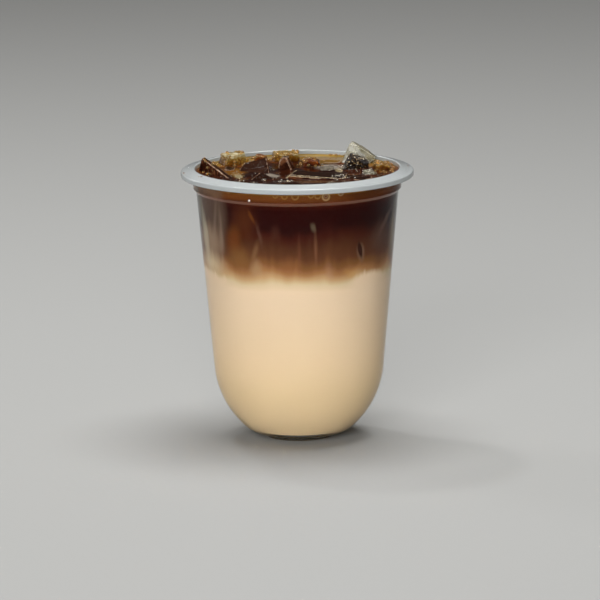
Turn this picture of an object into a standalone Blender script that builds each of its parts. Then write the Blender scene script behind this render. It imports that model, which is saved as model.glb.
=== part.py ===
"""Iced milk tea in a round-bottomed plastic cup, full to the brim, with cracked ice.

The cup stands on Z = 0 with its axis on Z, and -Y is its front. Lengths are metres.
"""

import math
import random

import bmesh
import bpy
from mathutils import Euler, Vector

# Cup, heights above the table and radii from the axis
RIM_TOP = 0.1111
RIM_RADIUS = 0.0475
RIM_SLOPE_DROP = 0.0011
LIP_HEIGHT = 0.0023
LIP_THICKNESS = 0.0010
LIP_ROUNDING = 0.0007
FLANGE_THICKNESS = 0.0011
WALL = 0.0008
NECK_RADIUS = 0.0425
LEDGE_TOP = 0.1030
LEDGE_DROP = 0.0014
BODY_TOP_RADIUS = 0.0413
BODY_TAPER = 0.0914
BOWL_TOP = 0.0288
BOWL_RADIUS = 0.0374
BOWL_TURN = math.radians(48)
HEEL_RADIUS = 0.0126
FOOT_ROUNDING = 0.0004
RECESS_RADIUS = 0.0118
RECESS_DRAFT = 0.0003
RECESS_HEIGHT = 0.0020
FLOOR_HEIGHT = 0.0042

# Drink
GAP = 0.0003
MILK_TOP = 0.0733
DRINK_LEVEL = 0.1091

# Corners knocked off each lump of ice, the share of the way out where they break, and their blunt edges
ICE_CHIPS = 5
ICE_BREAK = (0.80, 0.90)
ICE_EDGE = 0.0005

# Fineness of the turned pieces
TURN_STEPS = 88
TURN_MERGE = 0.00001
BOWL_POINTS = 7
HEEL_POINTS = 4
LIP_POINTS = 4


def linear(hex_colour):
    """An sRGB colour such as "c8a070" as linear red, green, blue and alpha."""
    shares = [int(hex_colour[i:i + 2], 16) / 255 for i in (0, 2, 4)]
    low = 0.04045
    return [s / 12.92 if s <= low else ((s + 0.055) / 1.055) ** 2.4 for s in shares] + [1.0]


def material(name, hex_colour, roughness, alpha=1.0):
    """A Principled material of one colour."""
    finish = bpy.data.materials.new(name)
    finish.use_nodes = True
    shader = finish.node_tree.nodes["Principled BSDF"]
    shader.inputs["Base Color"].default_value = linear(hex_colour)
    shader.inputs["Roughness"].default_value = roughness
    shader.inputs["Metallic"].default_value = 0.0
    shader.inputs["Alpha"].default_value = alpha
    return finish


def new_collection(name):
    """An empty collection linked to the scene."""
    group = bpy.data.collections.new(name)
    bpy.context.scene.collection.children.link(group)
    return group


def mesh_object(name, mesh, group, finish=None):
    """An object of a mesh, in a collection, with a material."""
    piece = bpy.data.objects.new(name, mesh)
    group.objects.link(piece)
    if finish:
        mesh.materials.append(finish)
    return piece


def turned(name, outline, group, finish):
    """A solid turned about Z from an outline that runs down its outer side."""
    mesh = bpy.data.meshes.new(name)
    points = [(radius, 0.0, height) for radius, height in outline]
    mesh.from_pydata(points, [(i, i + 1) for i in range(len(points) - 1)], [])
    piece = mesh_object(name, mesh, group, finish)
    screw = piece.modifiers.new("turn", "SCREW")
    screw.axis = "Z"
    screw.angle = 2 * math.pi
    screw.steps = TURN_STEPS
    screw.render_steps = TURN_STEPS
    screw.use_merge_vertices = True
    screw.merge_threshold = TURN_MERGE
    screw.use_smooth_shade = True
    return piece


def arc(centre, radius, start, end, count):
    """Points on an arc in the outline's plane. Angles are in radians below the horizontal."""
    turns = [start + (end - start) * i / (count - 1) for i in range(count)]
    return [(centre[0] + radius * math.cos(a), centre[1] - radius * math.sin(a)) for a in turns]


body_top = LEDGE_TOP - LEDGE_DROP
body_tilt = math.atan(BODY_TAPER)
bowl_top_radius = BODY_TOP_RADIUS - (body_top - BOWL_TOP) * BODY_TAPER
bowl_centre = (
    bowl_top_radius - BOWL_RADIUS * math.cos(body_tilt),
    BOWL_TOP + BOWL_RADIUS * math.sin(body_tilt),
)
heel_centre = (
    bowl_centre[0] + (BOWL_RADIUS - HEEL_RADIUS) * math.cos(BOWL_TURN),
    bowl_centre[1] - (BOWL_RADIUS - HEEL_RADIUS) * math.sin(BOWL_TURN),
)


def bowl_side(depth, end):
    """The round bottom from the side wall in to an angle on the heel, at a depth in from the skin.

    It is one wide arc, and a tighter one at the heel that turns in to the foot.
    """
    bowl = arc(bowl_centre, BOWL_RADIUS - depth, body_tilt, BOWL_TURN, BOWL_POINTS)
    return bowl + arc(heel_centre, HEEL_RADIUS - depth, BOWL_TURN, end, HEEL_POINTS)[1:]


def floor_edge(depth):
    """The angle on the heel, at a depth in from the skin, where the flat floor begins."""
    return math.asin((heel_centre[1] - FLOOR_HEIGHT) / (HEEL_RADIUS - depth))


def wall_side(depth):
    """The neck, ledge and side wall from top to bottom, at a depth in from the skin."""
    return [
        (NECK_RADIUS - depth, LEDGE_TOP),
        (BODY_TOP_RADIUS - depth, body_top),
    ]


def cup_outline():
    """The cup's section: floor and inside upwards, over the rim, then down the outside."""
    floor = [(0.0, FLOOR_HEIGHT)]
    inside = wall_side(WALL) + bowl_side(WALL, floor_edge(WALL))
    mouth = [(NECK_RADIUS - WALL, RIM_TOP - LIP_ROUNDING), (NECK_RADIUS - WALL / 2, RIM_TOP)]
    shoulder = RIM_TOP - RIM_SLOPE_DROP
    lip_centre = (RIM_RADIUS - LIP_ROUNDING, shoulder - LIP_ROUNDING)
    lip = arc(lip_centre, LIP_ROUNDING, -math.pi / 2, 0.0, LIP_POINTS)
    lip_foot = shoulder - LIP_HEIGHT
    lip += [(RIM_RADIUS, lip_foot), (RIM_RADIUS - LIP_THICKNESS, lip_foot)]
    under = [
        (RIM_RADIUS - LIP_THICKNESS, shoulder - FLANGE_THICKNESS),
        (NECK_RADIUS, RIM_TOP - FLANGE_THICKNESS),
    ]
    outside = wall_side(0.0) + bowl_side(0.0, math.pi / 2)
    foot_radius = heel_centre[0]
    foot = [
        (foot_radius, FOOT_ROUNDING),
        (foot_radius - FOOT_ROUNDING, 0.0),
        (RECESS_RADIUS, 0.0),
        (RECESS_RADIUS - RECESS_DRAFT, RECESS_HEIGHT),
        (0.0, RECESS_HEIGHT),
    ]
    return floor + inside[::-1] + mouth + lip + under + outside + foot


def drink_outline(low, high):
    """The section of a layer of drink between two heights, clear of the cup all round."""
    depth = WALL + GAP
    side = [(NECK_RADIUS - depth, high)] + wall_side(depth) + bowl_side(depth, floor_edge(depth))
    between = [p for p in side if low < p[1] < high]
    ends = [(radius_at(side, high), high), (radius_at(side, low), low)]
    return [(0.0, high), ends[0]] + between + [ends[1], (0.0, low)]


def radius_at(side, height):
    """The radius of a falling outline at a height."""
    for (r0, z0), (r1, z1) in zip(side, side[1:]):
        if z1 <= height <= z0 and z0 > z1:
            return r1 + (r0 - r1) * (height - z1) / (z0 - z1)
    return side[-1][0]


def cracked_ice(name, at, size, top, turn, seed, group, finish):
    """A broken lump of ice: a box whose top is drawn in and shifted, with its corners knocked off.

    top holds the share of the width and depth that the top keeps, and its shift to the side and back.
    """
    draw = random.Random(seed)
    shape = bmesh.new()
    bmesh.ops.create_cube(shape, size=1.0)
    for corner in shape.verts:
        if corner.co.z > 0:
            corner.co.x = corner.co.x * top[0] + top[2]
            corner.co.y = corner.co.y * top[1] + top[3]
        corner.co = Vector(a * b for a, b in zip(corner.co, size))
    for _ in range(ICE_CHIPS):
        way = Vector(draw.uniform(-1, 1) for _ in range(3)).normalized()
        reach = max(corner.co.dot(way) for corner in shape.verts)
        on = way * reach * draw.uniform(*ICE_BREAK)
        everything = shape.verts[:] + shape.edges[:] + shape.faces[:]
        cut = bmesh.ops.bisect_plane(
            shape, geom=everything, plane_co=on, plane_no=way, clear_outer=True
        )
        rim = [e for e in cut["geom_cut"] if isinstance(e, bmesh.types.BMEdge)]
        bmesh.ops.edgeloop_fill(shape, edges=rim)
    bmesh.ops.bevel(
        shape, geom=shape.edges[:], offset=ICE_EDGE, segments=1, affect="EDGES", clamp_overlap=True
    )
    bmesh.ops.recalc_face_normals(shape, faces=shape.faces[:])
    lean = Euler([math.radians(a) for a in turn], "ZYX").to_matrix().to_4x4()
    bmesh.ops.transform(shape, matrix=lean, verts=shape.verts)
    bmesh.ops.translate(shape, vec=at, verts=shape.verts)
    mesh = bpy.data.meshes.new(name)
    shape.to_mesh(mesh)
    shape.free()
    return mesh_object(name, mesh, group, finish)


def pocket(piece, group):
    """A cutter a gap larger than a piece all round."""
    shape = bmesh.new()
    shape.from_mesh(piece.data)
    shape.normal_update()
    moved = [corner.co + corner.normal * GAP * corner.calc_shell_factor() for corner in shape.verts]
    for corner, place in zip(shape.verts, moved):
        corner.co = place
    mesh = bpy.data.meshes.new(piece.name + "_pocket")
    shape.to_mesh(mesh)
    shape.free()
    cutter = mesh_object(mesh.name, mesh, group)
    cutter.hide_render = True
    cutter.display_type = "WIRE"
    return cutter


for leftover in list(bpy.data.objects):
    bpy.data.objects.remove(leftover, do_unlink=True)

model = new_collection("iced_milk_tea")
cutters = new_collection("cutters")

# The cup is one moulding of clear polypropylene: rim, neck with its ledge, wall, round bottom and foot
turned("cup", cup_outline(), model, material("clear polypropylene", "d5d9d8", 0.15, 0.2))

# The milk lies at the bottom, and the tea floats on it up to the brim
turned(
    "milk_layer",
    drink_outline(FLOOR_HEIGHT + GAP, MILK_TOP),
    model,
    material("sweet milk", "e2c69a", 0.3),
)
tea = turned(
    "tea_layer",
    drink_outline(MILK_TOP + GAP, DRINK_LEVEL),
    model,
    material("black tea", "3d1c12", 0.12),
)

# Each lump of ice: name, middle (across, back and above the drink), size, top (shares kept and
# shifts), turn in degrees, seed
ICE = [
    ("ice_left_shard", (-0.0318, -0.0075, -0.0029), (0.0265, 0.0065, 0.0110),
     (1.00, 0.35, -0.02, 0.00), (12, 7, -60), 38),
    ("ice_back_left", (-0.0279, 0.0178, -0.0002), (0.0128, 0.0115, 0.0098),
     (0.60, 0.60, 0.18, 0.00), (3, -5, 24), 5),
    ("ice_left_block", (-0.0164, 0.0010, -0.0050), (0.0126, 0.0180, 0.0125),
     (0.92, 0.80, 0.03, 0.05), (24, -13, 6), 31),
    ("ice_back_amber", (-0.0152, 0.0224, -0.0015), (0.0070, 0.0070, 0.0100),
     (0.70, 0.70, 0.00, 0.00), (0, 8, -15), 2),
    ("ice_centre_slab", (-0.0020, 0.0040, -0.0025), (0.0124, 0.0070, 0.0152),
     (0.24, 0.70, -0.34, 0.20), (0, 4, -14), 4),
    ("ice_back_centre", (-0.0046, 0.0262, -0.0023), (0.0124, 0.0110, 0.0122),
     (0.85, 0.70, 0.00, 0.00), (5, 0, 4), 7),
    ("ice_back_round", (0.0056, 0.0134, -0.0033), (0.0092, 0.0098, 0.0125),
     (0.80, 0.70, 0.00, 0.00), (0, 5, 6), 9),
    ("ice_front_point", (-0.0147, -0.0175, -0.0026), (0.0095, 0.0095, 0.0070),
     (0.80, 0.80, 0.00, 0.00), (24, 0, 45), 12),
    ("ice_front_slab", (0.0074, -0.0150, -0.0037), (0.0280, 0.0145, 0.0100),
     (0.88, 0.70, 0.00, 0.10), (3, 4, -6), 6),
    ("ice_centre_flat", (0.0126, 0.0037, -0.0033), (0.0066, 0.0074, 0.0085),
     (0.90, 0.90, 0.00, 0.00), (8, -6, 6), 15),
    ("ice_tall_clear", (0.0250, 0.0214, -0.0012), (0.0104, 0.0095, 0.0142),
     (1.12, 0.80, -0.19, 0.00), (0, 34, -12), 21),
    ("ice_right_block", (0.0240, 0.0064, -0.0009), (0.0108, 0.0108, 0.0118),
     (0.78, 0.60, -0.05, 0.10), (0, 23, 4), 17),
    ("ice_right_lump", (0.0341, 0.0032, -0.0026), (0.0074, 0.0138, 0.0108),
     (0.80, 0.75, 0.00, 0.05), (0, 4, 6), 11),
    ("ice_right_chip", (0.0290, -0.0085, -0.0023), (0.0065, 0.0080, 0.0080),
     (0.60, 0.60, 0.00, 0.00), (0, 10, 30), 13),
    ("ice_left_low", (-0.0279, 0.0060, -0.0035), (0.0058, 0.0090, 0.0085),
     (0.80, 0.80, 0.00, 0.00), (4, 6, -8), 23),
    ("ice_front_left", (-0.0190, -0.0282, -0.0037), (0.0120, 0.0085, 0.0085),
     (0.75, 0.70, 0.00, 0.00), (-4, 3, -32), 24),
    ("ice_front_edge", (-0.0030, -0.0325, -0.0038), (0.0150, 0.0095, 0.0090),
     (0.80, 0.70, 0.00, 0.00), (5, -4, 6), 25),
    ("ice_front_right", (0.0152, -0.0305, -0.0036), (0.0115, 0.0090, 0.0085),
     (0.70, 0.70, 0.00, 0.00), (-3, 6, 22), 26),
    ("ice_right_front", (0.0270, -0.0206, -0.0033), (0.0100, 0.0080, 0.0085),
     (0.75, 0.70, 0.00, 0.00), (4, -3, 48), 27),
]

clear_ice = material("clear ice", "dfe6e4", 0.08, 0.5)
for name, at, size, top, turn, seed in ICE:
    middle = Vector(at) + Vector((0.0, 0.0, DRINK_LEVEL))
    pocket(cracked_ice(name, middle, size, top, turn, seed, model, clear_ice), cutters)

room = tea.modifiers.new("room for the ice", "BOOLEAN")
room.operation = "DIFFERENCE"
room.operand_type = "COLLECTION"
room.collection = cutters
room.solver = "EXACT"
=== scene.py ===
"""Iced milk tea in a clear round-bottomed plastic cup: the looks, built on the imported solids."""

import math
import random

import bmesh
import bpy
from mathutils import Matrix, Vector, noise
from mathutils.bvhtree import BVHTree
from mathutils.kdtree import KDTree


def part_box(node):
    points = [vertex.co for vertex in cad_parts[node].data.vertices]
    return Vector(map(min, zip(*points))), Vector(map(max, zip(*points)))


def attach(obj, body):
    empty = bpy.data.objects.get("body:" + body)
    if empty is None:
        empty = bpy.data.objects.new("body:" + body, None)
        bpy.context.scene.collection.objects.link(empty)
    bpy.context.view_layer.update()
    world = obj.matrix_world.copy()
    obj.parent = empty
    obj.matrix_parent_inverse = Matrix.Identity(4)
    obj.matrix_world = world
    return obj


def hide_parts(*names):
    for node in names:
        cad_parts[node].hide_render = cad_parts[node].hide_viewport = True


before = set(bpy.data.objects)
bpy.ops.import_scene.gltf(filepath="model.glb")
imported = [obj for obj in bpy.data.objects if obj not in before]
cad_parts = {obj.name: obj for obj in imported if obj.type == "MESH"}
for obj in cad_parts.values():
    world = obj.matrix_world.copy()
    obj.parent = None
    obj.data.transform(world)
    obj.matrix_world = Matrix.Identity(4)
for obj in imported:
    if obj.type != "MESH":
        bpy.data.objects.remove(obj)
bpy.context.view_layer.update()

# The cup is one injection moulding of polypropylene: a flat sealing rim with a turned-down lip, a
# short straight neck, a small ledge, a tapering wall and a round bottom on a foot ring. The thin
# wall is clear, and the thicker rim is milky.
MM = 0.001
cup_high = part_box("cup")[1]
RIM_TOP = cup_high.z
RIM_RADIUS = cup_high.x
RIM_SLOPE_DROP = 1.1 * MM
LIP_HEIGHT = 2.3 * MM
WALL = 0.8 * MM
NECK_RADIUS = 42.5 * MM
LEDGE_TOP = 103.0 * MM
LEDGE_DROP = 1.4 * MM
BODY_TOP = LEDGE_TOP - LEDGE_DROP
BODY_TOP_RADIUS = 41.3 * MM
BODY_TAPER = 0.0914
BOWL_TOP = 28.8 * MM
BOWL_RADIUS = 37.4 * MM
BOWL_TURN = math.radians(48)
HEEL_RADIUS = 12.6 * MM
FLOOR_HEIGHT = 4.2 * MM
FOOT_ROUNDING = 0.4 * MM
RECESS_RADIUS = 11.8 * MM
RECESS_HEIGHT = 2.0 * MM
CUP_STEPS = 256

body_tilt = math.atan(BODY_TAPER)
bowl_top_radius = BODY_TOP_RADIUS - (BODY_TOP - BOWL_TOP) * BODY_TAPER
bowl_centre = (
    bowl_top_radius - BOWL_RADIUS * math.cos(body_tilt),
    BOWL_TOP + BOWL_RADIUS * math.sin(body_tilt),
)
heel_centre = (
    bowl_centre[0] + (BOWL_RADIUS - HEEL_RADIUS) * math.cos(BOWL_TURN),
    bowl_centre[1] - (BOWL_RADIUS - HEEL_RADIUS) * math.sin(BOWL_TURN),
)


def arc(centre, radius, start, end, count):
    """Points on an arc in the outline's plane. Angles are in radians below the horizontal."""
    turns = [start + (end - start) * i / (count - 1) for i in range(count)]
    return [(centre[0] + radius * math.cos(a), centre[1] - radius * math.sin(a)) for a in turns]


def wall_side(depth, end):
    """The neck, ledge, wall and round bottom from the top down, at a depth in from the skin."""
    ledge_curve = 0.35 * MM
    neck = [
        (NECK_RADIUS - depth, LEDGE_TOP + ledge_curve),
        (NECK_RADIUS - depth - 0.1 * MM, LEDGE_TOP),
        (BODY_TOP_RADIUS - depth + 0.15 * MM, BODY_TOP + ledge_curve),
        (BODY_TOP_RADIUS - depth, BODY_TOP),
    ]
    bowl = arc(bowl_centre, BOWL_RADIUS - depth, body_tilt, BOWL_TURN, 28)
    return neck + bowl + arc(heel_centre, HEEL_RADIUS - depth, BOWL_TURN, end, 14)[1:]


def floor_edge(depth, height):
    """The angle on the heel, at a depth in from the skin, where it comes down to a height."""
    return math.asin((heel_centre[1] - height) / (HEEL_RADIUS - depth))


def turned(name, outline, steps):
    """A mesh turned about Z from an outline in the XZ plane."""
    same_place = 0.005 * MM
    shape = bmesh.new()
    line = [shape.verts.new((radius, 0.0, height)) for radius, height in outline]
    edges = [shape.edges.new(pair) for pair in zip(line, line[1:])]
    bmesh.ops.spin(
        shape, geom=line + edges, cent=(0, 0, 0), axis=(0, 0, 1), angle=2 * math.pi, steps=steps,
        use_merge=True,
    )
    bmesh.ops.remove_doubles(shape, verts=shape.verts, dist=same_place)
    bmesh.ops.recalc_face_normals(shape, faces=shape.faces)
    mesh = bpy.data.meshes.new(name)
    shape.to_mesh(mesh)
    shape.free()
    mesh.shade_smooth()
    return mesh


def place(name, mesh, slot, *finishes):
    """Adds a piece to the scene with its materials and its body. Its slot in the record is not used.
    """
    piece = bpy.data.objects.new(name, mesh)
    bpy.context.scene.collection.objects.link(piece)
    for finish in finishes:
        mesh.materials.append(finish)
    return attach(piece, "root")


def rim_outline():
    """The rim from its inner edge out over the flange, down the lip and back in underneath."""
    shoulder = RIM_TOP - RIM_SLOPE_DROP
    crown = NECK_RADIUS - WALL / 2
    crown_round = 0.45 * MM
    inner = arc((crown, RIM_TOP - crown_round), crown_round, -math.pi, -math.pi / 2, 6)
    # Four fine steps run round the flange, at these shares of its width
    step = 0.07 * MM
    flange = []
    for share in (0.22, 0.40, 0.58, 0.76):
        radius = crown + (RIM_RADIUS - crown) * share
        height = RIM_TOP - RIM_SLOPE_DROP * share
        flange += [(radius - step, height - 0.2 * step), (radius, height - step)]
        flange += [(radius + step, height - 1.2 * step)]
    lip_round = 0.75 * MM
    lip = arc((RIM_RADIUS - lip_round, shoulder - lip_round), lip_round, -math.pi / 2, 0.0, 8)
    lip_foot = shoulder - LIP_HEIGHT
    bead_round = 0.5 * MM
    bead = arc((RIM_RADIUS - bead_round, lip_foot + bead_round), bead_round, 0.0, math.pi, 9)
    under = [
        (RIM_RADIUS - 1.0 * MM, shoulder - 1.3 * MM),
        (RIM_RADIUS - 1.3 * MM, shoulder - 1.1 * MM),
        (NECK_RADIUS + 0.3 * MM, RIM_TOP - 1.15 * MM),
        (NECK_RADIUS, RIM_TOP - 1.45 * MM),
    ]
    return inner + flange + lip + bead + under


def linear(hex_colour):
    """An sRGB colour such as "c8a070" as linear red, green, blue and alpha."""
    shares = [int(hex_colour[i:i + 2], 16) / 255 for i in (0, 2, 4)]
    low = 0.04045
    return [s / 12.92 if s <= low else ((s + 0.055) / 1.055) ** 2.4 for s in shares] + [1.0]


def add(tree, kind, settings, inputs):
    """Adds a node. An input is a plain value, a socket, or a node that stands for its first output."""
    node = tree.nodes.new("ShaderNode" + kind)
    for name, value in settings.items():
        setattr(node, name, value)
    for name, value in inputs.items():
        if isinstance(value, bpy.types.Node):
            value = value.outputs[0]
        if isinstance(value, bpy.types.NodeSocket):
            tree.links.new(value, node.inputs[name])
        else:
            node.inputs[name].default_value = value
    return node


def finish_of(name, **plain):
    """A material with one Principled shader and its plain socket values. Gives all three."""
    made = bpy.data.materials.new(name)
    made.use_nodes = True
    shader = made.node_tree.nodes["Principled BSDF"]
    for socket, value in plain.items():
        shader.inputs[socket.replace("_", " ")].default_value = value
    return made, made.node_tree, shader


# Clear polypropylene, injection moulded against polished steel: glass-like, with the faint waviness
# of a thin moulded wall, three waves to 25 mm. Its IOR is set well below the real 1.49, because over
# dark tea the wall would otherwise mirror the pale floor as a grey veil
WAVE_WIDTH = 25 * MM / 3
clear_pp, tree, shader = finish_of(
    "clear polypropylene",
    Base_Color=linear("f8f8f6"),
    Roughness=0.04,
    IOR=1.12,
    Transmission_Weight=1.0,
    Specular_Tint=(0.5, 0.5, 0.5, 1.0),
)
spot = add(tree, "TexCoord", {}, {})
waves = add(
    tree, "TexNoise", {},
    {"Vector": spot.outputs["Object"], "Scale": 1 / WAVE_WIDTH, "Detail": 2.0},
)
relief = add(tree, "Bump", {}, {"Height": waves, "Strength": 0.25, "Distance": 0.1 * MM})
tree.links.new(relief.outputs["Normal"], shader.inputs["Normal"])

# Milky polypropylene: the same plastic where it is thick, cloudy with fine crystals, with a soft
# gloss and light that spreads inside it. Its clouds come 13 to 50 mm
CLOUD_WIDTH = 50 * MM / 13
milky_pp, tree, shader = finish_of(
    "milky polypropylene",
    Base_Color=linear("a4a8a8"),
    Roughness=0.12,
    IOR=1.49,
    Transmission_Weight=0.10,
    Subsurface_Weight=0.7,
    Subsurface_Radius=(4 * MM, 4 * MM, 4 * MM),
)
spot = add(tree, "TexCoord", {}, {})
clouds = add(
    tree, "TexNoise", {},
    {"Vector": spot.outputs["Object"], "Scale": 1 / CLOUD_WIDTH, "Detail": 3.0},
)
relief = add(tree, "Bump", {}, {"Height": clouds, "Strength": 0.15, "Distance": 0.1 * MM})
tree.links.new(relief.outputs["Normal"], shader.inputs["Normal"])

# Polished polypropylene: the clear wall where it is bent at the ledge, glossier than the rest and a
# little cloudy. Its warm cloudy colour is painted light that, with the real gloss, draws a thin warm
# line of light round the cup under the neck
bent_pp = finish_of(
    "polished polypropylene",
    Base_Color=linear("da9e80"),
    Roughness=0.16,
    IOR=1.30,
    Transmission_Weight=0.87,
    Specular_Tint=(0.95, 0.66, 0.50, 1.0),
)[0]

MILKY_FROM = RIM_TOP - 2.2 * MM
foot_radius = heel_centre[0] - FOOT_ROUNDING
cup_inside = [(NECK_RADIUS - WALL, MILKY_FROM)] + wall_side(WALL, floor_edge(WALL, FLOOR_HEIGHT))
foot = arc((foot_radius, FOOT_ROUNDING), FOOT_ROUNDING, 0.0, math.pi / 2, 5)
foot += arc((RECESS_RADIUS + FOOT_ROUNDING, FOOT_ROUNDING), FOOT_ROUNDING, math.pi / 2, math.pi, 5)
# The recess under the floor, with the low round mark of the mould's gate in its middle
recess = [
    (RECESS_RADIUS - 0.3 * MM, RECESS_HEIGHT - 0.1 * MM),
    (RECESS_RADIUS - 0.6 * MM, RECESS_HEIGHT),
    (1.6 * MM, RECESS_HEIGHT),
    (1.2 * MM, RECESS_HEIGHT - 0.3 * MM),
    (0.0, RECESS_HEIGHT - 0.35 * MM),
]
cup_outline = [(0.0, FLOOR_HEIGHT)] + cup_inside[::-1] + rim_outline()
cup_outline += wall_side(0.0, math.pi / 2) + foot + recess
cup_mesh = turned("cup_moulding", cup_outline, CUP_STEPS)
cup = place("cup_moulding", cup_mesh, "clear_plastic", clear_pp, milky_pp, bent_pp)
hair = 0.1 * MM
for face in cup_mesh.polygons:
    out = math.hypot(face.center.x, face.center.y)
    on_flange = out > NECK_RADIUS + hair and face.center.z > BODY_TOP + 2 * MM
    on_ledge = BODY_TOP + 2 * hair < face.center.z < LEDGE_TOP + 2 * hair
    if on_flange or face.center.z > MILKY_FROM:
        face.material_index = 1
    elif on_ledge and out > BODY_TOP_RADIUS - hair:
        face.material_index = 2
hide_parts("cup")

# The drink is sweet milk with strong black tea poured on it. They blend where they meet, the tea
# sinks in plumes and the milk rises in wisps, all of it pressed against the clear wall.
INTO_WALL = 0.35 * MM
drink_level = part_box("tea_layer")[1].z
milk_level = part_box("milk_layer")[1].z
DRINK_STEPS = 192

# Milk tea: opaque with fine fat and tea solids, so it is matt where it wets the plastic. Its colour
# runs from cream at the bottom through caramel to near black, at heights in mm above the table.
# The slightly darker cream at the very bottom is painted shade where the bowl curves under, and
# the amber in the neck is painted light that comes in through the tea's top
TEA_SHADES = (
    # Painted shade: a slightly darker cream where the bowl curves under
    (22, "dcc29a"),
    (36, "e0c6a2"),
    (66, "e0c8aa"),
    (69, "d0bb97"),
    (71.5, "ba966c"),
    (74, "9a6e46"),
    (76.5, "7c5230"),
    (80, "5c3925"),
    (85, "4a2a1c"),
    (89, "3a1a12"),
    (92.5, "260e0d"),
    (100, "280c0a"),
    # From here up, painted light: amber where light comes in through the tea's top
    (102.8, "40170a"),
    (104.4, "623517"),
    (109, "6e441e"),
)
SHADES_LOW = 20
SHADES_HIGH = 110

milk_tea, tree, shader = finish_of("milk tea", Roughness=0.5, Specular_IOR_Level=0.0)
spot = add(tree, "TexCoord", {}, {})
mm = add(tree, "VectorMath", {"operation": "SCALE"}, {0: spot.outputs["Object"], "Scale": 1 / MM})
apart = add(tree, "SeparateXYZ", {}, {"Vector": mm})
SMOOTH = {"interpolation_type": "SMOOTHSTEP"}
TIMES = {"operation": "MULTIPLY"}
TIMES_PLUS = {"operation": "MULTIPLY_ADD"}


def grain_of(size, detail, distortion):
    """Noise whose lumps have a width, depth and height in mm."""
    scaled = add(tree, "VectorMath", {"operation": "DIVIDE"}, {0: mm, 1: size})
    return add(
        tree, "TexNoise", {},
        {"Vector": scaled, "Detail": detail, "Scale": 1.0, "Distortion": distortion},
    )


def fill(ramp, stops):
    """Gives a colour ramp its stops. Each is a place from 0 to 1 and a colour."""
    while len(ramp.elements) < len(stops):
        ramp.elements.new(0.5)
    for stop, (position, colour) in zip(ramp.elements, stops):
        stop.position = position
    for stop, (position, colour) in zip(ramp.elements, stops):
        stop.color = linear(colour)


# Billows 16 mm across shift the blend by up to 4.5 mm, and thin curtains 4.5 mm wide and 28 mm tall
# tear its upper part by up to 2.5 mm. The milk below lies still, and the top few mm are level
BILLOW_SHIFT = 4.5
CURTAIN_SHIFT = 2.5
billows = grain_of((16, 16, 26), 2.0, 0.0)
curtains = grain_of((4.5, 4.5, 28), 2.0, 0.8)
stirred = add(
    tree, "MapRange", SMOOTH, {"Value": apart.outputs["Z"], "From Min": 62.0, "From Max": 74.0}
)
calmed = add(
    tree, "MapRange", SMOOTH,
    {
        "Value": apart.outputs["Z"], "From Min": 93.0, "From Max": 100.0,
        "To Min": 1.0, "To Max": 0.0,
    },
)
torn = add(
    tree, "MapRange", SMOOTH,
    {"Value": apart.outputs["Z"], "From Min": 72.5, "From Max": 80.0, "To Min": 0.15},
)
heave = add(tree, "Math", TIMES_PLUS, {0: billows, 1: 2 * BILLOW_SHIFT, 2: -BILLOW_SHIFT})
tear = add(tree, "Math", TIMES_PLUS, {0: curtains, 1: 2 * CURTAIN_SHIFT, 2: -CURTAIN_SHIFT})
shift = add(tree, "Math", TIMES_PLUS, {0: tear, 1: torn, 2: heave})
swirl = add(tree, "Math", TIMES, {0: stirred, 1: calmed})
moved = add(tree, "Math", TIMES_PLUS, {0: shift, 1: swirl, 2: apart.outputs["Z"]})
height = add(
    tree, "MapRange", {}, {"Value": moved, "From Min": SHADES_LOW, "From Max": SHADES_HIGH}
)
shades = add(tree, "ValToRGB", {}, {"Fac": height})
span = SHADES_HIGH - SHADES_LOW
fill(shades.color_ramp, [((level - SHADES_LOW) / span, colour) for level, colour in TEA_SHADES])
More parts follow.
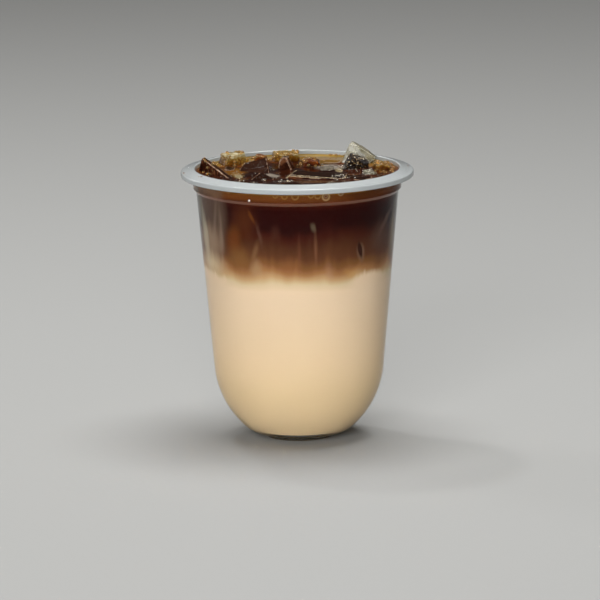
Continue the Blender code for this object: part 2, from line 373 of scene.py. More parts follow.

# Plumes, veils and wisps that stand out from the blend. The grey veils on the left are a painted
# reflection of soft light on the left of the wall. Each has middle and half sizes in mm, lean to the
# right in degrees, colour, how strongly it shows, and how wide its soft border is, in half sizes
PLUMES = (
    ((-37.0, -16.0, 67.6), (12.0, 18.0, 4.6), 0, "dec6a8", 1.00, 0.60),
    ((29.5, -26.0, 68.2), (10.0, 16.0, 4.8), 0, "dec6a8", 1.00, 0.60),
    # Painted reflection: this grey veil and the next stand for soft light mirrored on the left of the
    # wall
    ((-34.5, -20.0, 94.0), (7.5, 16.0, 20.0), 0, "5e4a3e", 0.75, 0.50),
    ((-36.0, -18.0, 83.0), (8.0, 16.0, 9.5), 0, "907862", 0.80, 0.90),
    ((-36.0, -18.0, 74.4), (9.5, 16.0, 6.0), 0, "c8b292", 0.90, 1.10),
    # Painted reflection: these four grey streaks are soft light mirrored on the left of the wall
    ((-39.0, -12.0, 96.0), (1.6, 12.0, 16.0), -12, "6a6654", 0.60, 0.8),
    ((-37.0, -16.0, 84.0), (1.2, 12.0, 16.0), -6, "bcae96", 0.60, 0.9),
    ((-33.6, -21.0, 92.0), (0.9, 12.0, 15.0), 3, "8c7868", 0.32, 1.1),
    ((-31.0, -24.0, 88.0), (1.1, 12.0, 15.0), -4, "9c8672", 0.34, 1.1),
    ((-21.5, -33.0, 94.0), (7.0, 12.0, 11.0), 0, "5a3019", 0.55, 1.1),
    ((-26.0, -30.0, 86.5), (4.0, 12.0, 7.5), 2, "68391a", 0.75, 0.9),
    ((-23.6, -30.0, 78.5), (6.2, 12.0, 7.5), 0, "7e5630", 0.75, 1.1),
    ((-18.5, -35.0, 97.0), (1.1, 12.0, 3.8), -28, "74421c", 0.55, 1.0),
    ((-15.5, -36.0, 90.0), (0.9, 12.0, 7.0), -10, "684c42", 0.42, 1.1),
    ((-17.5, -35.0, 81.5), (1.8, 12.0, 7.0), 14, "8c6a48", 0.40, 1.1),
    ((-17.0, -35.0, 75.0), (3.4, 12.0, 4.2), 0, "a88a68", 0.50, 1.0),
    ((-9.0, -38.0, 90.5), (2.4, 12.0, 5.0), 0, "4c3024", 0.40, 1.0),
    ((-3.5, -39.0, 77.5), (6.0, 12.0, 4.5), 0, "905c38", 0.35, 1.1),
    ((0.4, -39.0, 82.0), (0.9, 12.0, 11.0), 0, "7c4c3a", 0.25, 1.1),
    ((6.2, -38.5, 92.6), (1.4, 12.0, 2.4), -12, "5c5040", 0.80, 1.0),
    ((7.2, -38.5, 84.0), (1.1, 12.0, 10.0), -2, "8c6248", 0.36, 1.1),
    ((12.5, -37.0, 74.0), (2.4, 12.0, 5.5), -8, "b48e76", 0.26, 1.1),
    ((12.0, -37.0, 92.0), (5.0, 12.0, 6.0), 14, "381712", 0.50, 1.1),
    ((21.5, -33.0, 73.2), (4.0, 12.0, 2.4), 20, "b88a50", 0.50, 1.0),
    ((33.0, -22.0, 86.0), (6.0, 12.0, 9.0), 20, "5c4438", 0.60, 1.1),
    ((35.0, -18.0, 91.0), (1.1, 12.0, 7.0), 28, "6c5046", 0.45, 0.9),
    ((38.0, -12.0, 84.0), (1.4, 12.0, 12.0), 4, "8a7858", 0.60, 0.9),
    ((40.0, -8.0, 97.0), (1.5, 12.0, 12.0), 5, "3e3224", 0.60, 0.9),
    ((-36.0, -22.0, 106.0), (9.0, 16.0, 3.4), 0, "7e5e44", 0.55, 0.8),
    ((27.0, -32.0, 105.5), (14.0, 14.0, 4.0), 0, "44220f", 0.60, 0.8),
    # A gap beside the wall, where dark tea shows between pale lips
    ((25.3, -31.0, 81.2), (1.7, 12.0, 4.8), -4, "7c6250", 0.60, 0.7),
    ((25.0, -31.0, 82.2), (0.9, 12.0, 4.4), -6, "200806", 0.9, 0.6),
)
# How far the curtains shift a plume's border in mm, and how far out that border ends, in half sizes
FRAYED = (1.4, 1.4, 5.0)
BORDER = 1.15
drink_colour = shades.outputs["Color"]
frayed = add(
    tree, "VectorMath", TIMES_PLUS, {0: curtains.outputs["Color"], 1: FRAYED, 2: mm}
)
for middle, reach, lean, colour, strength, soft in PLUMES:
    local = add(
        tree, "Mapping", {"vector_type": "TEXTURE"},
        {
            "Vector": frayed,
            "Location": tuple(at + frays / 2 for at, frays in zip(middle, FRAYED)),
            "Rotation": (0.0, math.radians(lean), 0.0),
            "Scale": reach,
        },
    )
    far = add(tree, "VectorMath", {"operation": "LENGTH"}, {0: local})
    cover = add(
        tree, "MapRange", SMOOTH,
        {
            "Value": far.outputs["Value"], "From Min": BORDER, "From Max": BORDER - soft,
            "To Max": strength,
        },
    )
    drink_colour = add(
        tree, "Mix", {"data_type": "RGBA"}, {0: cover, 6: drink_colour, 7: linear(colour)}
    ).outputs[2]

# Froth against the neck: bubbles 1 to 3 mm wide that rise to the rim, seen through the wall
# as rings, and a golden line where they crowd together. Each has the angle round the cup in degrees
# from the front, the height and radius in mm, and its colour
BUBBLES = (
    (15.8, 105.8, 1.65, "b09668"),
    (15.8, 105.9, 0.7, "8c7c68"),
    (11.2, 106.4, 1.4, "94703e"),
    (-1.3, 106.3, 1.5, "94703e"),
    (7.4, 106.6, 1.2, "94703e"),
    (-7.1, 106.3, 1.3, "8c6836"),
    (-12.2, 106.5, 1.1, "8c6836"),
    (-41.0, 107.0, 1.1, "8c6430"),
    (24.5, 107.0, 1.3, "988468"),
    (61.0, 106.8, 1.2, "8c6430"),
    (104.0, 106.6, 1.4, "8c6430"),
    (133.0, 106.9, 1.2, "8c6430"),
    (171.0, 106.5, 1.5, "8c6430"),
    (205.0, 107.0, 1.1, "8c6430"),
    (252.0, 106.8, 1.3, "8c6430"),
)
# They sit this far from the cup's axis in mm. The ring's middle and its soft half width are shares
# of a bubble's radius
BUBBLES_OUT = 42.0
RING_MIDDLE = 0.85
RING_SOFT = 0.4
RING_STRENGTH = 0.6
in_the_neck = add(
    tree, "MapRange", SMOOTH,
    {"Value": apart.outputs["Z"], "From Min": 105.9, "From Max": 106.9, "To Max": 0.60},
)
crowded = add(
    tree, "MapRange", SMOOTH, {"Value": billows, "From Min": 0.40, "From Max": 0.60, "To Min": 0.1}
)
gold = add(tree, "Math", TIMES, {0: in_the_neck, 1: crowded})
drink_colour = add(
    tree, "Mix", {"data_type": "RGBA"}, {0: gold, 6: drink_colour, 7: linear("9c6c1e")}
).outputs[2]
for angle, level, radius, colour in BUBBLES:
    turn = math.radians(angle - 90)
    centre = (BUBBLES_OUT * math.cos(turn), BUBBLES_OUT * math.sin(turn), level)
    far = add(tree, "VectorMath", {"operation": "DISTANCE"}, {0: mm, 1: centre})
    past_ring = add(
        tree, "Math", {"operation": "SUBTRACT"}, {0: far.outputs["Value"], 1: radius * RING_MIDDLE}
    )
    from_ring = add(tree, "Math", {"operation": "ABSOLUTE"}, {0: past_ring})
    ring = add(
        tree, "MapRange", SMOOTH,
        {
            "Value": from_ring, "From Min": radius * RING_SOFT, "From Max": 0.0,
            "To Max": RING_STRENGTH,
        },
    )
    drink_colour = add(
        tree, "Mix", {"data_type": "RGBA"}, {0: ring, 6: drink_colour, 7: linear(colour)}
    ).outputs[2]
tree.links.new(drink_colour, shader.inputs["Base Color"])

drink_depth = WALL - INTO_WALL
drink_side = [(NECK_RADIUS - drink_depth, drink_level)]
drink_side += wall_side(drink_depth, floor_edge(drink_depth, FLOOR_HEIGHT - INTO_WALL))


def radius_at(side, height):
    """The radius of a falling outline at a height."""
    for (r0, z0), (r1, z1) in zip(side, side[1:]):
        if z1 <= height <= z0 and z0 > z1:
            return r1 + (r0 - r1) * (height - z1) / (z0 - z1)
    return side[-1][0]


meeting = radius_at(drink_side, milk_level)
crease = 0.04 * MM
milk_outline = [(0.0, milk_level), (meeting, milk_level), (meeting, milk_level - crease)]
milk_outline += [p for p in drink_side if p[1] < milk_level] + [(0.0, FLOOR_HEIGHT - INTO_WALL)]
milk = place("milk_drink", turned("milk_drink", milk_outline, DRINK_STEPS), "milk", milk_tea)
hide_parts("milk_layer")

# The ice is cracked from clear blocks: flat broken faces whose edges have begun to melt round in
# the drink. Each lump is made from its solid, remeshed fine, then worn by a little seeded noise.
ICE_VOXEL = 0.34 * MM
ICE_WELD = 0.01 * MM
# A lump's edge takes the painted highlight where it is sharper than this, in a strip that reaches
# this far to each side
SHARP = math.radians(18)
EDGE_STEP = 0.2 * MM
EDGE_REACH = 0.17 * MM
# The share of the waves' depth that has melted off a lump on the whole
MELTED = 0.3
ice_nodes = sorted(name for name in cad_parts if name.startswith("ice_"))


def sharp_places(solid):
    """Places along the sharp edges of a solid, as a tree to search."""
    shape = bmesh.new()
    shape.from_mesh(solid)
    bmesh.ops.remove_doubles(shape, verts=shape.verts, dist=ICE_WELD)
    places = []
    for edge in shape.edges:
        if len(edge.link_faces) == 2 and edge.calc_face_angle() > SHARP:
            start, end = (corner.co for corner in edge.verts)
            count = max(1, round((end - start).length / EDGE_STEP))
            places += [start.lerp(end, i / count) for i in range(count + 1)]
    shape.free()
    tree = KDTree(len(places))
    for i, at in enumerate(places):
        tree.insert(at, i)
    tree.balance()
    return tree


def worn_ice(node, wave, depth, rounding):
    """A lump's mesh with an uneven melted skin. Faces on its sharp edges take the second material, for
    most lumps a painted highlight.
    """
    blank = bpy.data.objects.new(node + "_blank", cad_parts[node].data.copy())
    bpy.context.scene.collection.objects.link(blank)
    weld = blank.modifiers.new("weld", "WELD")
    weld.merge_threshold = ICE_WELD
    fine = blank.modifiers.new("fine", "REMESH")
    fine.mode = "VOXEL"
    fine.voxel_size = ICE_VOXEL
    soften = blank.modifiers.new("soften", "SMOOTH")
    soften.factor = 0.5
    soften.iterations = rounding
    mesh = bpy.data.meshes.new_from_object(blank.evaluated_get(bpy.context.evaluated_depsgraph_get()))
    edges = sharp_places(blank.data)
    bpy.data.objects.remove(blank)
    mesh.materials.clear()
    mesh.name = node + "_lump"
    for face in mesh.polygons:
        face.material_index = 1 if edges.find(face.center)[2] < EDGE_REACH else 0
    for corner in mesh.vertices:
        wear = noise.noise(corner.co / wave) + 0.5 * noise.noise(corner.co / (wave / 2))
        corner.co += corner.normal * (wear - MELTED) * depth
    mesh.shade_smooth()
    return mesh


# A lump's colours run from below the drink's level to 5 mm over it. Faces that look up can take a
# painted shade, a flat colour for tops lit by the lamps above: it starts and is full at these upward
# shares of their direction
COLOURS_FROM = drink_level - 0.5 * MM
COLOURS_TO = drink_level + 5.0 * MM
PAINTED_TOP_FROM = 0.45
PAINTED_TOP_FULL = 0.85
PAINTED_TOP_STRENGTH = 0.85


def ice_finish(name, roughness, clear, speck, relief_depth, rise, *shades, painted_top_colour=None, ior=1.31):
    """A kind of ice: how frosted it is, how much light it passes, and the size of its specks.

    Each colour comes with the place from 0 to 1 where it is full. The places follow the specks, and
    rise is the share of them that follows the height over the tea, so that a lump pales upwards.
    Faces that look up can take a colour of their own, a painted shade for their lit tops.
    """
    made, tree, shader = finish_of(name, Roughness=roughness, IOR=ior, Transmission_Weight=clear)
    spot = add(tree, "TexCoord", {}, {})
    specks = add(
        tree, "TexNoise", {},
        {"Vector": spot.outputs["Object"], "Scale": 1 / speck, "Detail": 3.0, "Distortion": 0.5},
    )
    apart = add(tree, "SeparateXYZ", {}, {"Vector": spot.outputs["Object"]})
    above = add(
        tree, "MapRange", {},
        {
            "Value": apart.outputs["Z"], "From Min": COLOURS_FROM, "From Max": COLOURS_TO,
            "To Min": -rise / 2, "To Max": rise / 2,
        },
    )
    share = add(tree, "Math", {"operation": "ADD"}, {0: specks, 1: above})
    tints = add(tree, "ValToRGB", {}, {"Fac": share})
    fill(tints.color_ramp, shades)
    colour = tints.outputs["Color"]
    # Painted shade: up-facing faces take a flat colour of their own, set for tops lit from above
    if painted_top_colour:
        skin = add(tree, "NewGeometry", {}, {})
        facing = add(tree, "SeparateXYZ", {}, {"Vector": skin.outputs["Normal"]})
        painted_top_mask = add(
            tree, "MapRange", SMOOTH,
            {
                "Value": facing.outputs["Z"], "From Min": PAINTED_TOP_FROM, "From Max": PAINTED_TOP_FULL,
                "To Max": PAINTED_TOP_STRENGTH,
            },
        )
        colour = add(
            tree, "Mix", {"data_type": "RGBA"}, {0: painted_top_mask, 6: colour, 7: linear(painted_top_colour)}
        ).outputs[2]
    tree.links.new(colour, shader.inputs["Base Color"])
    ripple_width = speck / 1.6
    ripple = add(
        tree, "TexNoise", {},
        {
            "Vector": spot.outputs["Object"], "Scale": 1 / ripple_width, "Detail": 3.0,
            "Roughness": 0.6,
        },
    )
    relief = add(tree, "Bump", {}, {"Height": ripple, "Distance": relief_depth})
    tree.links.new(relief.outputs["Normal"], shader.inputs["Normal"])
    return made


# Ice: glassy, with an IOR of 1.31 and a skin rippled by melting. The lumps differ by what they hold.
# Soaked ice is clear over the dark tea, so it looks near black with brown lights. Tea wets it, so
# its IOR is set low, or its faces would mirror the pale room as grey
soaked_ice = ice_finish(
    "tea-soaked ice", 0.08, 0.38, 3.0 * MM, 0.12 * MM, 0.1,
    (0.38, "1a0804"), (0.54, "32160b"), (0.68, "6c4228"), painted_top_colour="26160e", ior=1.07,
)
# Brown ice stands higher out of the tea, so it is redder, with grey lights on its faces
brown_ice = ice_finish(
    "brown ice", 0.08, 0.34, 3.0 * MM, 0.12 * MM, 0.1,
    (0.36, "200c06"), (0.53, "3a1c10"), (0.68, "6e452c"), painted_top_colour="2c1a12", ior=1.04,
)
# Frosted ice has a white core of trapped air, streaked where it grew
frosted_ice = ice_finish(
    "frosted ice", 0.20, 0.66, 2.8 * MM, 0.12 * MM, 0.1,
    (0.32, "8e886e"), (0.50, "a8a48e"), (0.68, "ccc9b6"),
)
# Grey ice is clear over a cloudy core
grey_ice = ice_finish(
    "grey ice", 0.10, 0.55, 2.5 * MM, 0.20 * MM, 0.1, (0.35, "665a4e"), (0.60, "9a9282")
)
# Golden ice is rough and full of froth, lit through by thin tea, and pale where it stands high
golden_ice = ice_finish(
    "frothy golden ice", 0.05, 0.52, 1.8 * MM, 0.40 * MM, 0.7,
    (0.20, "46200a"), (0.42, "7c4e14"), (0.62, "987a38"), (0.86, "cec49c"),
)
# Orange ice is a smoother lump with strong tea in its cracks
orange_ice = ice_finish(
    "orange ice", 0.05, 0.48, 2.0 * MM, 0.32 * MM, 0.5,
    (0.24, "280e06"), (0.48, "622a08"), (0.68, "8a4e14"), (0.92, "ac8444"),
)
# Crazed ice is dark and finely cracked, and glitters: its near-white specks are painted glints, beside
# the real ones that its deep relief catches
crazed_ice = ice_finish(
    "crazed ice", 0.03, 0.25, 1.0 * MM, 0.55 * MM, 0.1,
    (0.52, "120905"), (0.60, "3c2a16"), (0.67, "8e7650"), (0.72, "f0ead8"),
)
# The rounded edges of a lump are painted pale: a painted highlight, thin lines where they would catch
# the light
pale_edge_highlight = ice_finish(
    "pale ice edge highlight", 0.22, 0.30, 1.5 * MM, 0.08 * MM, 0.1, (0.35, "66483a"), (0.62, "a88c74")
)
beige_edge_highlight = ice_finish(
    "beige ice edge highlight", 0.20, 0.30, 1.5 * MM, 0.08 * MM, 0.1, (0.35, "8c7456"), (0.62, "ccb896")
)
white_edge_highlight = ice_finish(
    "white ice edge highlight", 0.20, 0.45, 1.5 * MM, 0.16 * MM, 0.1, (0.35, "a49e88"), (0.62, "d8d6c6")
)
gold_edge_highlight = ice_finish(
    "golden ice edge highlight", 0.06, 0.60, 2.0 * MM, 0.30 * MM, 0.6, (0.30, "6a4820"), (0.66, "b09860")
)

# Each lump's body, its edge with the painted highlight, the width and depth of the waves on its skin
# in mm, and how often it is smoothed. The lumps that aren't named here are plain soaked ice
ICE_KINDS = {
    "ice_back_left": (golden_ice, beige_edge_highlight, 4.0, 0.60, 9),
    "ice_back_amber": (orange_ice, gold_edge_highlight, 3.5, 0.40, 8),
    "ice_back_centre": (golden_ice, gold_edge_highlight, 4.5, 0.60, 9),
    "ice_back_round": (orange_ice, gold_edge_highlight, 3.6, 0.50, 14),
    "ice_centre_flat": (grey_ice, grey_ice, 3.5, 0.20, 3),
    "ice_centre_slab": (brown_ice, pale_edge_highlight, 5.0, 0.07, 1),
    "ice_left_block": (brown_ice, pale_edge_highlight, 5.0, 0.07, 1),
    "ice_left_shard": (brown_ice, pale_edge_highlight, 5.0, 0.07, 1),
    "ice_front_slab": (soaked_ice, beige_edge_highlight, 5.0, 0.10, 1),
    "ice_tall_clear": (frosted_ice, white_edge_highlight, 4.5, 0.30, 3),
    "ice_right_block": (crazed_ice, crazed_ice, 2.4, 0.50, 2),
    "ice_right_lump": (golden_ice, gold_edge_highlight, 3.4, 0.60, 14),
    "ice_right_chip": (frosted_ice, white_edge_highlight, 3.0, 0.40, 3),
    "ice_front_right": (grey_ice, white_edge_highlight, 2.2, 0.20, 2),
}
PLAIN_ICE = (soaked_ice, pale_edge_highlight, 5.0, 0.07, 1)
lumps = {}
for node in ice_nodes:
    body, edge, wave, depth, rounding = ICE_KINDS.get(node, PLAIN_ICE)
    mesh = worn_ice(node, wave * MM, depth * MM, rounding)
    lump = place(node + "_lump", mesh, "ice", body, edge)
    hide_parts(node)
    lumps[node] = lump

# The tea's top stands level with a meniscus up the wall and round every lump, and it dips where a
# lump sits in it, so that each lump looks as deep as it is.
SURFACE_RINGS = 96
SURFACE_STEPS = 288
RIPPLE_HEIGHT = 0.12 * MM
RIPPLE_WIDTH = 5 * MM
WALL_MENISCUS = 0.35 * MM
ICE_MENISCUS = 0.55 * MM
MENISCUS_REACH = 1.1 * MM
POCKET_DEPTH = 6.0 * MM
POCKET_SHORE = 0.5 * MM
POCKET_SLOPE = 1.2
ice_trees = []
for node in ice_nodes:
    solid = lumps[node].data
    solid.calc_loop_triangles()
    corners = [corner.co.copy() for corner in solid.vertices]
    sides = [tuple(face.vertices) for face in solid.loop_triangles]
    low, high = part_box(node)
    ice_trees.append((BVHTree.FromPolygons(corners, sides), low, high))


def tea_height(x, y, wall_radius):
    """The height of the tea's top at a place."""
    ripple = RIPPLE_HEIGHT * noise.noise(Vector((x, y, 0)) / RIPPLE_WIDTH)
    to_wall = wall_radius - math.hypot(x, y)
    height = drink_level + ripple + WALL_MENISCUS * math.exp(-max(to_wall, 0.0) / MENISCUS_REACH)
    at = Vector((x, y, drink_level))
    reach = 3 * MENISCUS_REACH
    for tree, low, high in ice_trees:
        if not (low.x - reach < x < high.x + reach and low.y - reach < y < high.y + reach):
            continue
        near, normal, _, away = tree.find_nearest(at)
        if (at - near).dot(normal) < 0:
            height -= min(POCKET_DEPTH, POCKET_SLOPE * max(away - POCKET_SHORE, 0.0))
        else:
            height += ICE_MENISCUS * math.exp(-away / MENISCUS_REACH)
    return height


shape = bmesh.new()
neck_inside = NECK_RADIUS - drink_depth
rings = []
for i in range(1, SURFACE_RINGS + 1):
    radius = neck_inside * i / SURFACE_RINGS
    ring = []
    for j in range(SURFACE_STEPS):
        turn = 2 * math.pi * j / SURFACE_STEPS
        x, y = radius * math.cos(turn), radius * math.sin(turn)
        ring.append(shape.verts.new((x, y, tea_height(x, y, NECK_RADIUS - WALL))))
    rings.append(ring)
middle = shape.verts.new((0, 0, tea_height(0, 0, neck_inside)))
for j in range(SURFACE_STEPS):
    after = (j + 1) % SURFACE_STEPS
    shape.faces.new((middle, rings[0][j], rings[0][after]))
    for ring, outer in zip(rings, rings[1:]):
        shape.faces.new((ring[j], outer[j], outer[after], ring[after]))
top_faces = len(shape.faces)
below = [(neck_inside, drink_level - crease)]
below += [p for p in drink_side if milk_level + crease < p[1] < drink_level - crease]
below += [(meeting, milk_level + crease), (meeting, milk_level)]
last = rings[-1]
for radius, height in below:
    ring = []
    for j in range(SURFACE_STEPS):
        turn = 2 * math.pi * j / SURFACE_STEPS
        ring.append(shape.verts.new((radius * math.cos(turn), radius * math.sin(turn), height)))
    for j in range(SURFACE_STEPS):
        after = (j + 1) % SURFACE_STEPS
        shape.faces.new((last[j], ring[j], ring[after], last[after]))
    last = ring
shape.faces.new(last[::-1])
shape.faces.ensure_lookup_table()
for face in shape.faces[:top_faces]:
    face.material_index = 1
bmesh.ops.recalc_face_normals(shape, faces=shape.faces)
tea_mesh = bpy.data.meshes.new("tea_drink")
shape.to_mesh(tea_mesh)
shape.free()
tea_mesh.shade_smooth()

# Black tea at its top: a still, wet mirror over a near-black brown. Towards the back it turns amber
# and khaki in painted light, for the pale wall lighting it from behind and mirrored in it, and it also
# turns so in patches between the lumps
tea_top, tree, shader = finish_of(
    "black tea surface", Roughness=0.04, IOR=1.13, Specular_Tint=(0.8, 0.6, 0.45, 1.0)
)
spot = add(tree, "TexCoord", {}, {})
mm = add(tree, "VectorMath", {"operation": "SCALE"}, {0: spot.outputs["Object"], "Scale": 1 / MM})
apart = add(tree, "SeparateXYZ", {}, {"Vector": mm})
flat = add(tree, "CombineXYZ", {}, {"X": apart.outputs["X"], "Y": apart.outputs["Y"]})
out = add(tree, "VectorMath", {"operation": "LENGTH"}, {0: flat})
patches = grain_of((7, 7, 7), 3.0, 0.6)
at_wall = add(
    tree, "MapRange", SMOOTH, {"Value": out.outputs["Value"], "From Min": 16.0, "From Max": 41.0}
)
at_back = add(
    tree, "MapRange", SMOOTH,
    {"Value": apart.outputs["Y"], "From Min": -8.0, "From Max": 26.0, "To Min": 0.10},
)
PATCH_SHARE = 0.45
# Painted light: the tea turns amber towards the back wall, where the wall would light it
lit = add(tree, "Math", TIMES, {0: at_wall, 1: at_back})
patchy = add(tree, "Math", TIMES_PLUS, {0: patches, 1: 2 * PATCH_SHARE, 2: -PATCH_SHARE})
painted_light_and_patches = add(tree, "Math", {"operation": "ADD"}, {0: lit, 1: patchy})
TOP_SHADES = ((0.0, "1c0a06"), (0.18, "36180a"), (0.42, "58300c"), (0.66, "664412"), (0.95, "6c541c"))
top_light_ramp = add(tree, "ValToRGB", {}, {"Fac": painted_light_and_patches})
fill(top_light_ramp.color_ramp, TOP_SHADES)

# Ice that lies just under the top, and froth and milk caught between the lumps, as soft patches,
# with one more of painted light against the back wall: middle and half sizes in mm, turn in degrees,
# colour, and how strongly it shows
SUNK = (
    ((-24.2, -9.5), (1.9, 7.0), 6, "80745a", 0.75),
    ((-10.2, -9.6), (3.4, 4.6), 20, "80766a", 0.80),
    ((-26.5, 0.0), (7.0, 8.0), 0, "644014", 0.75),
    ((-33.0, -2.0), (4.0, 3.0), 30, "8c6a34", 0.60),
    ((-21.0, -16.0), (2.2, 5.0), -30, "40200f", 0.60),
    ((10.0, -24.5), (11.0, 2.6), 2, "4a2e16", 0.80),
    ((30.0, -16.0), (5.0, 7.0), 30, "3c1a0a", 0.70),
    ((16.8, 2.0), (1.8, 6.0), 8, "8c7c5c", 0.60),
    ((21.0, -8.0), (5.0, 2.4), 0, "5e3c24", 0.70),
    ((13.0, 9.5), (6.0, 8.0), -8, "7e746a", 0.85),
    ((35.5, 12.0), (4.5, 5.0), 10, "7c5626", 0.70),
    ((-12.0, 31.0), (8.0, 4.0), 10, "8c682c", 0.60),
    ((-30.5, -22.0), (4.0, 3.0), -40, "4c2c14", 0.60),
    ((11.0, 24.5), (9.0, 7.0), 0, "6c4e18", 0.80),
    # Painted light: a golden strip against the back wall, where the pale wall lights and mirrors in
    # the tea
    ((12.0, 38.5), (12.0, 2.6), 0, "94742e", 0.60),
)
# How far a patch's border is shifted in mm, and where it starts and is full, in half sizes
BLURRED = 3.0
SUNK_FROM = 1.15
SUNK_FULL = 0.6
top_colour = top_light_ramp.outputs["Color"]
blurred = add(
    tree, "VectorMath", TIMES_PLUS,
    {0: patches.outputs["Color"], 1: (BLURRED, BLURRED, 0.0), 2: flat},
)
for (x, y), (wide, deep), angle, colour, strength in SUNK:
    local = add(
        tree, "Mapping", {"vector_type": "TEXTURE"},
        {
            "Vector": blurred,
            "Location": (x + BLURRED / 2, y + BLURRED / 2, 0.0),
            "Rotation": (0.0, 0.0, math.radians(angle)),
            "Scale": (wide, deep, 1.0),
        },
    )
    far = add(tree, "VectorMath", {"operation": "LENGTH"}, {0: local})
    cover = add(
        tree, "MapRange", SMOOTH,
        {
            "Value": far.outputs["Value"], "From Min": SUNK_FROM, "From Max": SUNK_FULL,
            "To Max": strength,
        },
    )
    top_colour = add(
        tree, "Mix", {"data_type": "RGBA"}, {0: cover, 6: top_colour, 7: linear(colour)}
    ).outputs[2]
tree.links.new(top_colour, shader.inputs["Base Color"])

tea = place("tea_drink", tea_mesh, "tea", milk_tea, tea_top)
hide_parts("tea_layer")

# Froth: bubbles the size of pinheads that the pouring whipped up. They gather against the wall and on
# the lumps, golden at the back and right, and clear like beads of water along the front.
def rest_on(x, y):
    """The highest point of the ice or the tea's top at a place."""
    height = tea_height(x, y, NECK_RADIUS - WALL)
    for tree, low, high in ice_trees:
        if low.x < x < high.x and low.y < y < high.y:
            hit = tree.ray_cast(Vector((x, y, high.z + MM)), Vector((0, 0, -1)))[0]
            if hit and hit.z > height:
                height = hit.z
    return height


def beads(name, spots, slot, finish):
    """Round beads in one mesh, each given by its middle, its radius and how far it is flattened."""
    large = 0.5 * MM
    shape = bmesh.new()
    for middle, radius, squash in spots:
        size = Matrix.Diagonal((radius, radius, radius * squash, 1.0))
        fineness = 2 if radius > large else 1
        bmesh.ops.create_icosphere(
            shape, subdivisions=fineness, radius=1.0, matrix=Matrix.Translation(middle) @ size
        )
    mesh = bpy.data.meshes.new(name)
    shape.to_mesh(mesh)
    shape.free()
    mesh.shade_smooth()
    return place(name, mesh, slot, finish)


# Each patch of bubbles: its middle and half sizes in mm, how many, and their least and largest radius
FROTH = {
    "golden": (
        ((35.5, 4.0), (4.5, 11.0), 80, 0.25, 0.95),
        ((-28.0, 18.0), (7.5, 6.5), 70, 0.25, 0.85),
        ((-4.0, 27.0), (8.0, 5.5), 60, 0.25, 0.85),
        ((5.5, 13.5), (6.0, 5.0), 40, 0.25, 0.70),
        ((-36.0, -2.5), (3.5, 6.0), 30, 0.25, 0.70),
        ((20.0, 38.0), (9.0, 2.5), 30, 0.25, 0.70),
        ((-24.0, 31.0), (7.0, 4.5), 30, 0.25, 0.80),
        ((36.0, 16.0), (3.5, 5.0), 30, 0.25, 0.80),
    ),
    "clear": (
        ((-13.0, -20.5), (2.0, 1.6), 10, 0.25, 0.60),
        ((-5.5, -23.5), (4.0, 1.8), 22, 0.25, 0.70),
        ((17.0, -17.0), (3.6, 6.0), 30, 0.25, 0.75),
        ((18.0, 4.5), (1.6, 6.5), 22, 0.25, 0.70),
        ((24.0, 5.0), (5.5, 5.5), 30, 0.20, 0.50),
        ((30.5, -9.0), (4.0, 4.5), 24, 0.25, 0.70),
        ((-22.0, -26.0), (8.0, 6.0), 16, 0.20, 0.55),
        ((0.0, 0.0), (36.0, 36.0), 70, 0.20, 0.50),
    ),
}
# A bubble's skin is water: it bends the light of the tea under it and carries one small highlight
froth_gold = finish_of(
    "golden froth", Base_Color=linear("dcb878"), Roughness=0.04, IOR=1.33, Transmission_Weight=0.85
)[0]
froth_clear = finish_of(
    "clear froth", Base_Color=linear("efe8da"), Roughness=0.03, IOR=1.33, Transmission_Weight=0.92
)[0]
# Most bubbles are small. Their middles stand a quarter of a radius over what carries them
SMALLNESS = 2.2
LIFT = 0.25
FLATTENED = 0.9
froth_out = NECK_RADIUS - WALL - 0.1 * MM
draw = random.Random(41)
for kind, finish in (("golden", froth_gold), ("clear", froth_clear)):
    spots = []
    for (x, y), (wide, deep), count, least, largest in FROTH[kind]:
        for _ in range(count):
            away, turn = math.sqrt(draw.random()), draw.uniform(0, 2 * math.pi)
            at = Vector((x + wide * away * math.cos(turn), y + deep * away * math.sin(turn))) * MM
            radius = (least + (largest - least) * draw.random() ** SMALLNESS) * MM
            if at.length + radius > froth_out:
                at *= (froth_out - radius) / at.length
            middle = Vector((at.x, at.y, rest_on(at.x, at.y) + LIFT * radius))
            spots.append((middle, radius, FLATTENED))
    beads(kind + "_froth", spots, "tea" if kind == "golden" else "ice", finish)

# Drops that splashed while the cup was filled: tea and water on the flat of the rim, and one of milk
# on the outside of the neck. They cling where they fell, flattened by their own weight.
# A drop is smooth and wet: the tea and water pass the light of the rim, and the milk is nearly opaque
tea_drop = finish_of(
    "drop of tea", Base_Color=linear("a0622c"), Roughness=0.04, IOR=1.34, Transmission_Weight=0.6
)[0]
water_drop = finish_of(
    "drop of water", Base_Color=linear("f4f4f2"), Roughness=0.02, IOR=1.33, Transmission_Weight=0.9
)[0]
milk_drop = finish_of(
    "drop of milk", Base_Color=linear("fbf5ee"), Roughness=0.12, Subsurface_Weight=0.2
)[0]


def rim_height(radius):
    """The height of the sloping flange at a radius."""
    crown = NECK_RADIUS - WALL / 2
    return RIM_TOP - RIM_SLOPE_DROP * (radius - crown) / (RIM_RADIUS - crown)


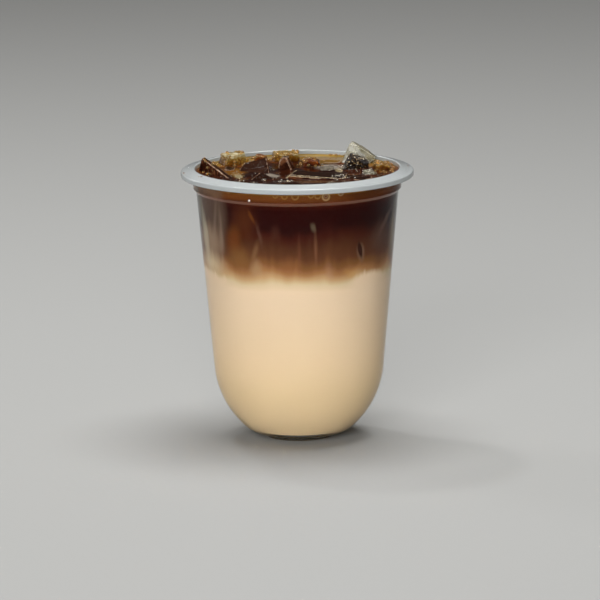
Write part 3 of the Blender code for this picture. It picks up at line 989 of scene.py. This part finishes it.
# Each drop's place and radius in mm
RIM_FLATTENED = 0.55
RIM_DROPS = {
    "tea": ((-46.1, -6.7, 0.42), (-38.8, -19.7, 0.50), (-39.9, -18.6, 0.28), (45.2, 4.0, 0.30)),
    "water": ((-44.2, 3.5, 0.45), (44.0, -9.5, 0.35), (12.0, 43.6, 0.40), (-30.2, 33.0, 0.35)),
}
for kind, finish, slot in (("tea", tea_drop, "tea"), ("water", water_drop, "ice")):
    spots = [
        (Vector((x * MM, y * MM, rim_height(math.hypot(x, y) * MM))), radius * MM, RIM_FLATTENED)
        for x, y, radius in RIM_DROPS[kind]
    ]
    beads(kind + "_drops", spots, slot, finish)
NECK_DROP_TURN = math.radians(-117.2)
NECK_DROP_HEIGHT = 104.0 * MM
NECK_DROP_RADIUS = 0.5 * MM
neck_x = NECK_RADIUS * math.cos(NECK_DROP_TURN)
neck_y = NECK_RADIUS * math.sin(NECK_DROP_TURN)
neck_spot = Vector((neck_x, neck_y, NECK_DROP_HEIGHT))
beads("milk_drop", [(neck_spot, NECK_DROP_RADIUS, 1.0)], "milk", milk_drop)

# The studio: a round sheet of pale matt paper, soft lamps in front, above and behind, and an even
# grey room. The paper lies a fifth of a millimetre under the cup's foot, so that they never meet.
FLOOR_RADIUS = 3.0
FLOOR_DROP = 0.2 * MM
floor_mesh = bpy.data.meshes.new("floor")
floor_shape = bmesh.new()
bmesh.ops.create_circle(floor_shape, cap_ends=True, segments=96, radius=FLOOR_RADIUS)
floor_shape.to_mesh(floor_mesh)
floor_shape.free()
floor = bpy.data.objects.new("floor", floor_mesh)
bpy.context.scene.collection.objects.link(floor)
floor.location.z = -FLOOR_DROP

# Matt paper, rolled and uncoated: no gloss, and a grain of 2.5 mm that keeps it from looking blank
GRAIN_WIDTH = 2.5 * MM
paper, tree, shader = finish_of("matt paper floor", Base_Color=linear("969694"), Roughness=0.9)
spot = add(tree, "TexCoord", {}, {})
grain = add(
    tree, "TexNoise", {},
    {"Vector": spot.outputs["Object"], "Scale": 1 / GRAIN_WIDTH, "Detail": 3.0},
)
relief = add(tree, "Bump", {}, {"Height": grain, "Strength": 0.1, "Distance": 0.5 * MM})
tree.links.new(relief.outputs["Normal"], shader.inputs["Normal"])
floor_mesh.materials.append(paper)

ROOM_LIGHT = 0.15
world = bpy.data.worlds.new("room")
bpy.context.scene.world = world
world.use_nodes = True
world.node_tree.nodes["Background"].inputs["Color"].default_value = linear("bab6b0")
world.node_tree.nodes["Background"].inputs["Strength"].default_value = ROOM_LIGHT

# Each lamp: place, width and height, and power in watts. The key lamp stands low in front, and it
# isn't mirrored, or it would whiten the whole top of the tea as seen from the back
LAMPS = {
    "key": ((-0.30, -1.85, 0.55), (1.0, 0.8), 45.0),
    "top": ((0.1, 0.10, 1.4), (0.9, 0.9), 25.0),
    "edge": ((-1.0, 0.85, 0.6), (0.3, 0.9), 3.0),
    "glint": ((-0.35, 0.55, 1.1), (0.09, 0.09), 2.6),
}
LAMPS_AIM = Vector((0, 0, 0.07))
for name, (at, (wide, tall), power) in LAMPS.items():
    lamp = bpy.data.lights.new(name, "AREA")
    lamp.shape = "RECTANGLE"
    lamp.size = wide
    lamp.size_y = tall
    lamp.energy = power
    holder = bpy.data.objects.new(name, lamp)
    bpy.context.scene.collection.objects.link(holder)
    holder.location = at
    holder.rotation_euler = (LAMPS_AIM - Vector(at)).to_track_quat("-Z", "Y").to_euler()
    holder.visible_glossy = name != "key"

# The camera stands 2.8 m away and looks down by 11 degrees, as the photograph does. Its lens gives
# the object the size that it has there, where a metre at the cup is this many pixels
LOOK_DOWN = math.radians(10.83)
DISTANCE = 2.8336
TARGET = Vector((0.00064, 0.0, 0.0559))
PIXELS_PER_METRE = 2446
PHOTO_WIDTH = 600
TILT = math.radians(-0.55)
towards = Vector((0, -math.cos(LOOK_DOWN), math.sin(LOOK_DOWN)))
camera = bpy.data.objects.new("camera", bpy.data.cameras.new("camera"))
bpy.context.scene.collection.objects.link(camera)
turn = (-towards).to_track_quat("-Z", "Y").to_matrix().to_4x4()
camera.matrix_world = (
    Matrix.Translation(TARGET + towards * DISTANCE) @ turn @ Matrix.Rotation(TILT, 4, "Z")
)
camera.data.lens = camera.data.sensor_width * DISTANCE * PIXELS_PER_METRE / PHOTO_WIDTH
bpy.context.scene.camera = camera

view = bpy.context.scene.view_settings
view.view_transform = "Standard"
bpy.context.scene.cycles.use_denoising = True
bpy.context.scene.cycles.max_bounces = 16
bpy.context.scene.cycles.transmission_bounces = 12
